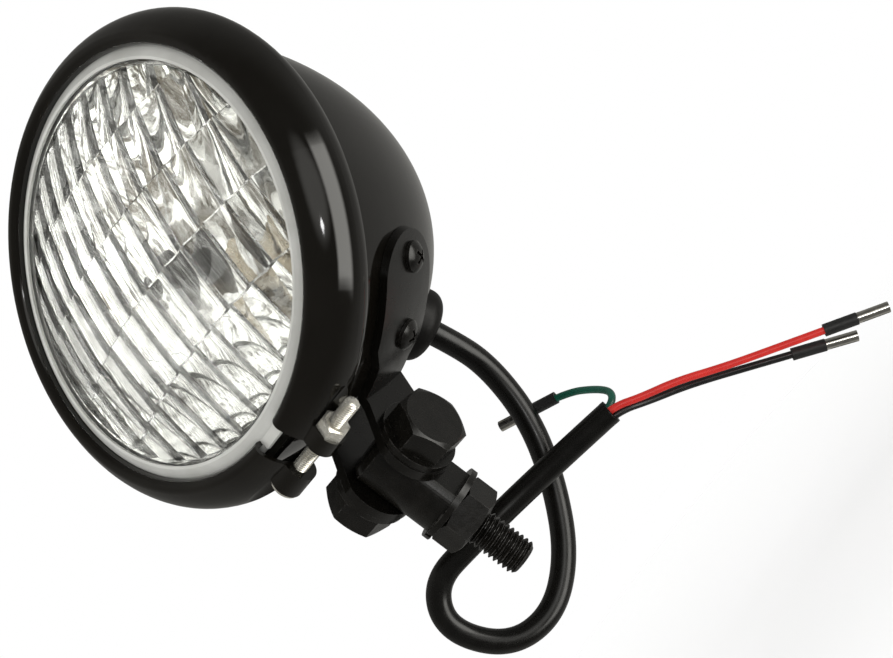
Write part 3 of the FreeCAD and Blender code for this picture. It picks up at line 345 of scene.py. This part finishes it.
WIRE_LOOK = {"mottle": 200.0, "grain": (900.0, 0.05)}
LOOKS = {
    "gloss_black": dict(
        dark=(0.004, 0.0034, 0.0024), light=(0.0058, 0.005, 0.0038), rough=(0.05, 0.09),
        mottle=60.0, grain=(520.0, 0.035), dust=0.006,
    ),
    "satin_black": dict(
        dark=(0.0032, 0.0028, 0.002), light=(0.0052, 0.0046, 0.0036), rough=(0.2, 0.28), ior=1.46,
        mottle=140.0, grain=(1100.0, 0.07), rub_and_highlight=((0.05, 0.048, 0.045), 0.0003, 0.5), dust=0.006,
    ),
    # Black steel: its lighter grey rubbed edges are partly real rub and partly painted highlights along the nut
    # and bolt-head edges.
    "black_steel": dict(
        dark=(0.0034, 0.003, 0.0022), light=(0.0064, 0.0057, 0.0045), rough=(0.2, 0.31), ior=1.44,
        mottle=260.0, grain=(1500.0, 0.12), rub_and_highlight=((0.16, 0.15, 0.14), 0.0003, 0.5), dust=0.006,
    ),
    "zinc_steel": dict(
        dark=(0.68, 0.65, 0.56), light=(0.84, 0.82, 0.75), rough=(0.16, 0.28), metal=0.78,
        mottle=420.0, grain=(2200.0, 0.06), rub_and_highlight=((0.85, 0.84, 0.8), 0.0002, 0.6),
    ),
    "ring_metal": dict(
        dark=(0.56, 0.56, 0.52), light=(0.68, 0.68, 0.64), rough=(0.34, 0.46), metal=0.35,
        mottle=90.0, spun=(5200.0, 0.06), dust=0.02,
    ),
    "reflector_mirror": dict(
        dark=(0.9, 0.9, 0.89), light=(0.94, 0.94, 0.93), rough=(0.015, 0.04), metal=1.0,
        mottle=50.0, grain=(110.0, 0.25),
    ),
    "seal_rubber": dict(
        dark=(0.05, 0.05, 0.05), light=(0.08, 0.08, 0.078), rough=(0.6, 0.75), grain=(1400.0, 0.15),
    ),
    "bulb_cap": dict(
        dark=(0.012, 0.009, 0.007), light=(0.022, 0.018, 0.014), rough=(0.3, 0.42), grain=(900.0, 0.08),
    ),
    "bulb_brass": dict(
        dark=(0.36, 0.31, 0.23), light=(0.47, 0.42, 0.34), rough=(0.22, 0.36), metal=1.0,
        mottle=220.0, grain=(1300.0, 0.06),
    ),
    "socket_plastic": dict(
        dark=(0.012, 0.012, 0.012), light=(0.02, 0.02, 0.019), rough=(0.4, 0.5), grain=(1200.0, 0.1),
    ),
    "grommet_rubber": dict(
        dark=(0.0045, 0.004, 0.0034), light=(0.0075, 0.007, 0.006), rough=(0.38, 0.5), ior=1.3,
        mottle=200.0, grain=(1600.0, 0.12), dust=0.008,
    ),
    "sheath_black": dict(
        dark=(0.003, 0.0027, 0.0021), light=(0.005, 0.0046, 0.0038), rough=(0.2, 0.3), ior=1.44,
        mottle=150.0, grain=(800.0, 0.07), dust=0.004,
    ),
    "wire_red": dict(
        dark=(0.55, 0.012, 0.008), light=(0.66, 0.022, 0.014), rough=(0.26, 0.36), **WIRE_LOOK,
    ),
    "wire_black": dict(
        dark=(0.009, 0.009, 0.009), light=(0.014, 0.014, 0.014), rough=(0.24, 0.34), **WIRE_LOOK,
    ),
    "wire_green": dict(
        dark=(0.004, 0.075, 0.045), light=(0.008, 0.1, 0.062), rough=(0.26, 0.36), **WIRE_LOOK,
    ),
    "sleeve_black": dict(
        dark=(0.011, 0.011, 0.011), light=(0.019, 0.019, 0.018), rough=(0.38, 0.48),
        mottle=300.0, grain=(1300.0, 0.09),
    ),
    "bullet_metal": dict(
        dark=(0.68, 0.66, 0.6), light=(0.82, 0.8, 0.75), rough=(0.14, 0.26), metal=1.0,
        mottle=420.0, grain=(2000.0, 0.05),
    ),
}
FINISHES = {name: finish(name, **look) for name, look in LOOKS.items()}
FINISHES["lens_glass"] = clear_glass("lens_glass", (0.985, 0.992, 0.985), (260.0, 0.3), alpha=0.87)
FINISHES["bulb_glass"] = clear_glass("bulb_glass", (0.99, 0.99, 0.985), (90.0, 0.02))
SLOT_NODES = {
    "gloss_black": ("headlamp_shell", "clamp_rim"),
    "satin_black": ("bracket_left", "bracket_right"),
    "black_steel": (
        "swivel_stud", "stud_nut", "stud_lock_washer", "pivot_bolts", "pivot_nut", "pivot_flat_washers",
        "bracket_screws", "bracket_nuts",
    ),
    "zinc_steel": ("rim_screw", "rim_nut"),
    "lens_glass": ("lens",),
    "ring_metal": ("lens_ring", "bulb_retainer"),
    "reflector_mirror": ("reflector",),
    "seal_rubber": ("lens_seal",),
    "bulb_glass": ("bulb_glass",),
    "bulb_brass": ("bulb_base",),
    "socket_plastic": ("bulb_socket", "inner_lead"),
    "grommet_rubber": ("cable_grommet",),
    "sheath_black": ("cable_sheath",),
    "wire_red": ("wire_red",),
    "wire_black": ("wire_black",),
    "wire_green": ("wire_green",),
    "sleeve_black": ("sleeve_red", "sleeve_black", "sleeve_green"),
    "bullet_metal": ("bullet_red", "bullet_black", "bullet_green"),
}


def paint_nodes():
    for slot, members in SLOT_NODES.items():
        for name in members:
            nodes[name].data.materials.clear()
            nodes[name].data.materials.append(FINISHES[slot])


# Mesh helpers: pieces are drawn in millimetres and then placed in metres
def new_piece(name, mesh, slot, body, *stands_for):
    mesh.materials.append(FINISHES[slot])
    piece = bpy.data.objects.new(name, mesh)
    bpy.context.scene.collection.objects.link(piece)
    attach(piece, body)
    if stands_for:
        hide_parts(*stands_for)
    return piece


def mesh_from(name, points, faces, place, sharp_degrees=30.0):
    """Smooth mesh with sharp edges above an angle, placed and scaled to metres."""
    mesh = bpy.data.meshes.new(name)
    mesh.from_pydata([MILLIMETRE @ place @ Vector(p) for p in points], [], faces)
    work = bmesh.new()
    work.from_mesh(mesh)
    bmesh.ops.remove_doubles(work, verts=work.verts, dist=WELD)
    work.to_mesh(mesh)
    work.free()
    mesh.shade_smooth()
    mesh.set_sharp_from_angle(angle=math.radians(sharp_degrees))
    return mesh


def ring_faces(rows, steps):
    """Faces between rows of points, each row a ring of steps."""
    faces = []
    for row in range(rows):
        for i in range(steps):
            a, b = row * steps + i, row * steps + (i + 1) % steps
            faces.append((a, b, b + steps, a + steps))
    return faces


def lathe(profile, steps):
    """Points and faces of a profile of (radius, height) pairs turned about Z."""
    points = []
    for radius, height in profile:
        for i in range(steps):
            turn = 2 * math.pi * i / steps
            points.append((radius * math.cos(turn), radius * math.sin(turn), height))
    return points, ring_faces(len(profile) - 1, steps)


# Cords
def cord_curve(name, points, radius, slot):
    """Round cord on a smooth spline through its route's points."""
    data = bpy.data.curves.new(name, "CURVE")
    data.dimensions = "3D"
    spline = data.splines.new("NURBS")
    spline.points.add(len(points) - 1)
    for point, place in zip(spline.points, points):
        point.co = (*(Vector(place) * MM), 1)
    spline.order_u = 3
    spline.use_endpoint_u = True
    spline.resolution_u = 16
    data.bevel_depth = radius * MM
    data.bevel_resolution = 8
    data.materials.append(FINISHES[slot])
    piece = bpy.data.objects.new(name, data)
    bpy.context.scene.collection.objects.link(piece)
    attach(piece, "lamp")
    return piece


def on_shell(y):
    """Point on the shell's underside, and the way out of it."""
    r = SHELL_R * math.sqrt(1 - (y / SHELL_DEPTH) ** 2)
    normal = Vector((0, y / SHELL_DEPTH ** 2, -r / SHELL_R ** 2)).normalized()
    return LAMP_PLACE @ Vector((0, y, -r)), LAMP_PLACE.to_3x3() @ normal


def add_mouth(end, along):
    """Open end of the sheath: a rounded rim round a hollow."""
    profile = [
        (SHEATH_R, -1.2), (SHEATH_R, -0.3), (SHEATH_R - 0.15, -0.05), (SHEATH_R - 0.4, 0.05),
        (MOUTH_R + 0.15, 0.0), (MOUTH_R, -0.2), (MOUTH_R, -MOUTH_DEPTH), (0.0, -MOUTH_DEPTH),
    ]
    points, faces = lathe(profile, 48)
    place = Matrix.Translation(end) @ along.to_track_quat("Z", "Y").to_matrix().to_4x4()
    return new_piece("sheath_mouth", mesh_from("sheath_mouth", points, faces, place), "sheath_black", "lamp")


def add_cords():
    start, heading = on_shell(GROMMET_Y)
    points = [start, start + heading * SHEATH_LEAVES] + [Vector(p) for p in SHEATH_ROUTE]
    sheath = cord_curve("sheath", points, SHEATH_R, "sheath_black")
    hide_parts("cable_sheath")
    end = points[-1]
    along = (end - points[-2]).normalized()
    mouth = add_mouth(end, along)
    down = (Vector((0, 0, -1)) - along * along.dot(Vector((0, 0, -1)))).normalized()
    across = along.cross(down)
    for colour, (place, leaves, length, route) in WIRES.items():
        turn = math.radians(place)
        beside = end + (down * math.cos(turn) + across * math.sin(turn)) * WIRE_LAY_R
        way = [beside - along * MOUTH_DEPTH, beside + along * leaves] + [Vector(p) for p in route]
        tail = (way[-1] - way[-2]).normalized()
        way[-1] = way[-1] + tail * (SLEEVE_LENGTH - CRIMP_LENGTH)
        wire = cord_curve(colour + "_wire", way, WIRE_R, "wire_" + colour)
        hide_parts("wire_" + colour)


# Fluted lens
DOME_R = (LENS_R ** 2 + LENS_SAG ** 2) / (2 * LENS_SAG)
DOME_Y = LENS_EDGE_Y - LENS_SAG + DOME_R
ROW_EDGES = [ROW_PITCH * k for k in (-1.5, -0.5, 0.5, 1.5)]
ROW_BORDERS = [-FLUTE_FIELD_R - 1] + ROW_EDGES + [FLUTE_FIELD_R + 1]
FLUTE_PARTS, ROW_PARTS, LENS_STEPS, LENS_RINGS = 10, 8, 360, 24
LEAST_STEP = 0.05


def dome_depth(r):
    """Front of the glass."""
    return DOME_Y - math.sqrt(DOME_R ** 2 - r ** 2)


def flute_depth(x, z, low, high):
    """Back of the glass in one row of flutes."""
    middle = (low + high) / 2
    slope = middle / DOME_R + ROW_LEAN
    step = math.floor(x / FLUTE_PITCH + 0.5)
    x0 = (step - 0.5) * FLUTE_PITCH
    share = (x - x0) / FLUTE_PITCH

    def valley(at):
        return DOME_Y - math.sqrt((DOME_R - GLASS) ** 2 - at ** 2 - middle ** 2)

    chord = valley(x0) * (1 - share) + valley(x0 + FLUTE_PITCH) * share
    return chord + 4 * FLUTE_BULGE * share * (1 - share) + slope * (z - middle)


def row_of(z):
    for low, high in zip(ROW_BORDERS, ROW_BORDERS[1:]):
        if low <= z <= high:
            return low, high


class Sheets:
    """Patches of the glass, each turned to face away from it."""

    def __init__(self):
        self.points, self.faces = [], []

    def quad(self, corners, facing):
        a, b, c, d = [Vector(p) for p in corners]
        if (c - a).cross(d - b).dot(Vector(facing)) < 0:
            corners = corners[::-1]
        first = len(self.points)
        self.points.extend(corners)
        self.faces.append((first, first + 1, first + 2, first + 3))


def column_marks(reach):
    """Places across the lens, at even steps in each flute, that end at the reach."""
    step = FLUTE_PITCH / FLUTE_PARTS
    count = math.floor(reach / step - LEAST_STEP)
    return [-reach] + [i * step for i in range(-count, count + 1)] + [reach]


def flute_rows(sheets):
    for low, high in zip(ROW_BORDERS, ROW_BORDERS[1:]):
        nearest = 0.0 if low < 0 < high else min(abs(low), abs(high))
        marks = column_marks(math.sqrt(FLUTE_FIELD_R ** 2 - nearest ** 2) - HAIR)
        columns = []
        for x in marks:
            half = math.sqrt(FLUTE_FIELD_R ** 2 - x * x)
            z0, z1 = max(low, -half), min(high, half)
            heights = [z0 + (z1 - z0) * i / ROW_PARTS for i in range(ROW_PARTS + 1)]
            columns.append([(x, flute_depth(x, z, low, high), z) for z in heights])
        for left, right in zip(columns, columns[1:]):
            for i in range(ROW_PARTS):
                sheets.quad([left[i], right[i], right[i + 1], left[i + 1]], (0, 1, 0))


def row_steps(sheets):
    """Small walls where one row stands proud of the next."""
    for below, border, above in zip(ROW_BORDERS, ROW_BORDERS[1:], ROW_BORDERS[2:]):
        marks = column_marks(math.sqrt(FLUTE_FIELD_R ** 2 - border ** 2) - HAIR)
        for x0, x1 in zip(marks, marks[1:]):
            lower = [flute_depth(x, border, below, border) for x in (x0, x1)]
            upper = [flute_depth(x, border, border, above) for x in (x0, x1)]
            facing = (0, 0, -1) if sum(upper) > sum(lower) else (0, 0, 1)
            sheets.quad([
                (x0, lower[0], border), (x1, lower[1], border), (x1, upper[1], border), (x0, upper[0], border),
            ], facing)


def lens_rounds(sheets):
    """Wall round the flutes, the seat, the edge and the dome."""
    rings = [LENS_EDGE_R * (1 - i / LENS_RINGS) for i in range(LENS_RINGS + 1)]
    for i in range(LENS_STEPS):
        ends = []
        for k in (i, i + 1):
            turn = 2 * math.pi * k / LENS_STEPS
            ends.append((math.cos(turn), math.sin(turn)))

        def ring(radius, depth):
            return [(c * radius, depth, s * radius) for c, s in ends]

        inner = []
        for c, s in ends:
            x, z = c * (FLUTE_FIELD_R - HAIR), s * (FLUTE_FIELD_R - HAIR)
            inner.append((x, flute_depth(x, z, *row_of(z)), z))
        outward = Vector((ends[0][0], 0, ends[0][1]))
        seat_in, seat_out = ring(FLUTE_FIELD_R, LENS_SEAT_Y), ring(LENS_EDGE_R, LENS_SEAT_Y)
        sheets.quad([inner[0], inner[1], seat_in[1], seat_in[0]], -outward)
        sheets.quad([seat_in[0], seat_in[1], seat_out[1], seat_out[0]], (0, 1, 0))
        edge = ring(LENS_EDGE_R, dome_depth(LENS_EDGE_R))
        sheets.quad([seat_out[0], seat_out[1], edge[1], edge[0]], outward)
        for wide, narrow in zip(rings, rings[1:]):
            a = ring(wide, dome_depth(wide))
            b = ring(narrow, dome_depth(narrow))
            sheets.quad([a[0], a[1], b[1], b[0]], (0, -1, 0))


def add_lens():
    sheets = Sheets()
    flute_rows(sheets)
    row_steps(sheets)
    lens_rounds(sheets)
    mesh = mesh_from("fluted_lens", sheets.points, sheets.faces, LAMP_PLACE, sharp_degrees=24.0)
    new_piece("fluted_lens", mesh, "lens_glass", "lamp", "lens")


# Reflector and bulb
BOWL_PARTS, BOWL_STEPS, BULB_PARTS, BULB_STEPS = 60, 192, 16, 64
WALL_OUT, WALL_BACK = REFLECTOR_WALL * 0.75, REFLECTOR_WALL * 0.66


def bowl_depth(r):
    """Bright side of the reflector."""
    return LENS_SEAT_Y + SEAL_THICK + (REFLECTOR_RIM_R ** 2 - r ** 2) / (4 * REFLECTOR_FOCUS)


def add_reflector():
    front, back = LENS_SEAT_Y + SEAL_THICK, LENS_SEAT_Y + SEAL_THICK + REFLECTOR_WALL
    end = bowl_depth(COLLAR_R) + COLLAR_LENGTH
    marks = [REFLECTOR_RIM_R + (COLLAR_R - REFLECTOR_RIM_R) * i / BOWL_PARTS for i in range(BOWL_PARTS + 1)]
    inner = [(r, bowl_depth(r)) for r in marks]
    outer = [(r + WALL_OUT, bowl_depth(r) + WALL_BACK) for r in marks]
    profile = [(REFLECTOR_FLANGE_R, back), (REFLECTOR_FLANGE_R, front)] + inner
    profile += [(COLLAR_R, end), (COLLAR_FLANGE_R, end), (COLLAR_FLANGE_R, end - REFLECTOR_WALL)]
    profile += [(COLLAR_R + REFLECTOR_WALL, end - REFLECTOR_WALL)] + outer[::-1] + [(REFLECTOR_FLANGE_R, back)]
    points, faces = lathe(profile, BOWL_STEPS)
    points = [(x, h, max(y, -FLANGE_FLAT)) for x, y, h in points]
    mesh = mesh_from("bright_reflector", points, [f[::-1] for f in faces], LAMP_PLACE, sharp_degrees=35.0)
    new_piece("bright_reflector", mesh, "reflector_mirror", "lamp", "reflector")
    mesh.materials.append(FINISHES["satin_black"])
    inward = (MILLIMETRE @ LAMP_PLACE).inverted()
    for face in mesh.polygons:
        middle = inward @ face.center
        face.material_index = int(math.hypot(middle.x, middle.z) > REFLECTOR_RIM_R + BRIGHT_PAST_RIM)


def add_bulb_glass():
    """Blown bulb with a thin wall and a dark tip."""
    root = bowl_depth(COLLAR_R) + COLLAR_LENGTH - BULB_BASE_FORWARD
    outer, inner = [], []
    tip, inner_r = root - BULB_GLASS_H, BULB_GLASS_R - BULB_WALL
    for i in range(BULB_PARTS + 1):
        turn = math.pi / 2 * i / BULB_PARTS
        for radius, track in ((BULB_GLASS_R, outer), (inner_r, inner)):
            track.append((radius * math.sin(turn), tip + BULB_GLASS_R - radius * math.cos(turn)))
    cap_end = tip + BULB_CAP
    outer += [(BULB_GLASS_R, cap_end), (BULB_GLASS_R, root)]
    inner += [(inner_r, cap_end), (inner_r, root)]
    points, faces = lathe(outer + inner[::-1], BULB_STEPS)
    points = [(x, h, y) for x, y, h in points]
    mesh = mesh_from("bulb_envelope", points, faces, LAMP_PLACE, sharp_degrees=40.0)
    new_piece("bulb_envelope", mesh, "bulb_glass", "lamp", "bulb_glass")
    mesh.materials.append(FINISHES["bulb_cap"])
    inward = (MILLIMETRE @ LAMP_PLACE).inverted()
    for face in mesh.polygons:
        face.material_index = int((inward @ face.center).y < cap_end)


# Screw threads
THREAD_DEPTH, THREAD_FLANK, THREAD_CREST = 0.613, 2.6, 0.15
THREAD_STEPS, THREAD_PARTS = 48, 12
NODE_SHARP = 20


def thread(major, pitch, length, chamfer):
    """Threaded bar along Z from 0 to its length, with a chamfered far end."""
    depth, steps = THREAD_DEPTH * pitch, THREAD_STEPS
    rows = round(length / pitch * THREAD_PARTS)
    points = []
    for row in range(rows + 1):
        height = length * row / rows
        for i in range(steps):
            phase = (height / pitch - i / steps) % 1.0
            groove = min(1.0, max(0.0, abs(phase - 0.5) * THREAD_FLANK - THREAD_CREST))
            radius = min(major - depth * groove, major - chamfer + (length - height))
            angle = 2 * math.pi * i / steps
            points.append((radius * math.cos(angle), radius * math.sin(angle), height))
    points.append((0, 0, length))
    last = rows * steps
    end = [(last + i, last + (i + 1) % steps, last + steps) for i in range(steps)]
    return points, ring_faces(rows, steps) + end


def join_node_part(mesh, node, keep):
    """Add to a mesh the faces of a CAD node whose middle passes a test, with their vertices."""
    work = bmesh.new()
    work.from_mesh(node.data)
    gone = [f for f in work.faces if not keep(f.calc_center_median())]
    bmesh.ops.delete(work, geom=gone, context="FACES")
    bmesh.ops.remove_doubles(work, verts=work.verts, dist=WELD)
    work.from_mesh(mesh)
    work.to_mesh(mesh)
    work.free()
    mesh.shade_smooth()
    mesh.set_sharp_from_angle(angle=math.radians(NODE_SHARP))


def add_stud():
    points, faces = thread(STUD_R, STUD_PITCH, STUD_FREE, STUD_CHAMFER)
    down = Matrix.Rotation(math.pi, 4, "X")
    mesh = mesh_from("threaded_stud", points, faces, down)
    join_node_part(mesh, nodes["swivel_stud"], lambda c: c.z > SEAM * MM)
    new_piece("threaded_stud", mesh, "black_steel", "stud", "swivel_stud")


def add_rim_screw():
    points, faces = thread(CLAMP_SCREW_R, CLAMP_SCREW_PITCH, CLAMP_SCREW_LENGTH, CLAMP_SCREW_CHAMFER)
    mesh = mesh_from("clamp_screw", points, faces, SCREW_PLACE)
    limit = (HEAD_SEAT_X + SEAM) * MM
    join_node_part(mesh, nodes["rim_screw"], lambda c: c.x < limit)
    new_piece("clamp_screw", mesh, "zinc_steel", "lamp", "rim_screw")


# Stage, in metres: soft light, and a pale floor that lies below the wires at every tilt and fades into the white
FLOOR_HALF, FLOOR_DROP = 2.0, 0.0285
FLOOR_COLOUR, FLOOR_ROUGH = (0.92, 0.92, 0.915, 1), 0.7
FADE_STARTS, FADE_ENDS = 0.08, 0.3
WHITE, BLACK = (1, 1, 1, 1), (0, 0, 0, 1)
FILL = (1.02, 1.02, 1.02, 1)

# The room as gloss shows it: levels, and the directions in which they lie
TO_EYE, TO_TOP, TO_LEFT = (0.589, -0.806, 0.062), (0.11, 0.58, 0.81), (-1.0, 0.0, 0.1)
ROOM_BACK, ROOM_FRONT, ROOM_TOP, ROOM_LEFT = 0.36, 0.1, 0.45, 0.5
ROOM_TINT = (1.0, 0.985, 0.93, 1)
WINDOW, TO_WINDOW = 4.4, (0.9, -0.17, -0.4)
WINDOW_EDGES = (
    ((-0.065, 0.855, -0.51), 0.3, 0.45),
    ((0.065, -0.855, 0.51), 0.08, 0.2),
    ((-0.394, -0.492, -0.775), 0.4, 0.55),
    ((0.394, 0.492, 0.775), 0.4, 0.55),
)
GLOW, TO_GLOW = 1.0, (0.86, -0.49, 0.08)

# The room through the glass: dark and bright patches, brighter from below and beside, darker straight ahead
PATCH_DARK, PATCH_BRIGHT = (0.1, 0.083, 0.056, 1), (2.2, 2.2, 2.1, 1)
GLASS_DIM, GLASS_BRIGHT, GLASS_SIDES, GLASS_MURK = 0.58, 2.0, 1.7, 0.13
TO_BELOW, TO_FRONT, TO_MURK = (0.15, -0.1, -0.98), (0.0, -1.0, 0.0), (-0.42, -0.9, -0.08)


def add_floor():
    mesh = bpy.data.meshes.new("floor")
    level = cad_low.z - FLOOR_DROP
    corners = ((-1, -1), (1, -1), (1, 1), (-1, 1))
    mesh.from_pydata([(x * FLOOR_HALF, y * FLOOR_HALF, level) for x, y in corners], [], [(0, 1, 2, 3)])
    made, tree, shader = new_material("pale_floor")
    shader.inputs["Base Color"].default_value = FLOOR_COLOUR
    shader.inputs["Roughness"].default_value = FLOOR_ROUGH
    place = shade(tree, "TexCoord")
    reach = shade(tree, "VectorMath", {0: place.outputs["Object"]}, operation="LENGTH")
    fade = stretch(tree, reach.outputs["Value"], FADE_STARTS, FADE_ENDS)
    through = shade(tree, "BsdfTransparent")
    mix = shade(tree, "MixShader", {0: fade, 1: shader.outputs[0], 2: through.outputs[0]})
    tree.links.new(mix.outputs[0], tree.nodes["Material Output"].inputs["Surface"])
    mesh.materials.append(made)
    floor = bpy.data.objects.new("floor", mesh)
    bpy.context.scene.collection.objects.link(floor)
    floor.visible_glossy = False


def add_world():
    """White behind the lamp for the eye, an even soft fill, and a room with a window for gloss and glass."""
    world = bpy.data.worlds.new("studio")
    bpy.context.scene.world = world
    world.use_nodes = True
    tree = world.node_tree
    path = shade(tree, "LightPath").outputs
    way = shade(tree, "TexCoord").outputs["Generated"]

    def towards(direction, near, far, low, high):
        """Smooth change of a value with the angle to a direction."""
        along = shade(tree, "VectorMath", {0: way, 1: direction}, operation="DOT_PRODUCT")
        return stretch(tree, along.outputs["Value"], near, far, low, high, interpolation_type="SMOOTHSTEP")

    def times(first, second):
        return combine(tree, "MULTIPLY", first, second)

    def plus(first, second):
        return combine(tree, "ADD", first, second)

    def lit(level, tint):
        return blend_colour(tree, level, BLACK, tint, clamp_factor=False)

    room = towards(TO_EYE, -0.3, 0.5, ROOM_BACK, ROOM_FRONT)
    room = times(room, towards(TO_TOP, 0.3, 0.95, 1.0, ROOM_TOP))
    room = times(room, towards(TO_LEFT, 0.3, 0.9, 1.0, ROOM_LEFT))
    window = towards(TO_WINDOW, 0.0, 0.3, 0.0, WINDOW)
    for across, near, far in WINDOW_EDGES:
        window = times(window, towards(across, near, far, 1.0, 0.0))
    glow = towards(TO_GLOW, 0.9, 0.975, 0.0, GLOW)
    in_gloss = lit(plus(plus(room, window), glow), ROOM_TINT)

    clutter = shade(tree, "TexNoise", {"Vector": way, "Scale": 4.8, "Detail": 4.0, "Roughness": 0.62})
    dimmed = plus(clutter.outputs["Fac"], towards(TO_MURK, 0.86, 0.96, 0.0, -GLASS_MURK))
    tone = blend_colour(tree, stretch(tree, dimmed, 0.4, 0.56), PATCH_DARK, PATCH_BRIGHT)
    seen = towards(TO_BELOW, -0.25, 0.45, GLASS_DIM, GLASS_BRIGHT)
    seen = times(seen, towards(TO_FRONT, 0.5, 0.8, GLASS_SIDES, 1.0))
    in_glass = lit(seen, tone)

    colour = blend_colour(tree, path["Is Glossy Ray"], FILL, in_gloss)
    colour = blend_colour(tree, path["Is Transmission Ray"], colour, in_glass)
    colour = blend_colour(tree, path["Is Camera Ray"], colour, WHITE)
    tree.links.new(colour, tree.nodes["Background"].inputs["Color"])
    bpy.context.scene.view_settings.view_transform = "Standard"


def add_softbox(name, place, aim, size, power):
    data = bpy.data.lights.new(name, "AREA")
    data.shape = "SQUARE"
    data.size = size
    data.energy = power
    lamp = bpy.data.objects.new(name, data)
    lamp.location = place
    lamp.rotation_mode = "QUATERNION"
    lamp.rotation_quaternion = (Vector(aim) - lamp.location).to_track_quat("-Z", "Y")
    bpy.context.scene.collection.objects.link(lamp)
    return lamp


def add_stage():
    add_world()
    add_floor()
    key = add_softbox("key", place=(-0.55, -0.8, 0.75), aim=(0, 0, 0.08), size=0.7, power=5.0)
    key.visible_glossy = False
    key.visible_transmission = False
    add_softbox("flash", place=(0.52, -0.39, 0.01), aim=(0.03, -0.05, 0.09), size=0.05, power=0.2)


add_camera()
add_cords()
paint_nodes()
add_lens()
add_reflector()
add_bulb_glass()
add_stud()
add_rim_screw()
add_stage()
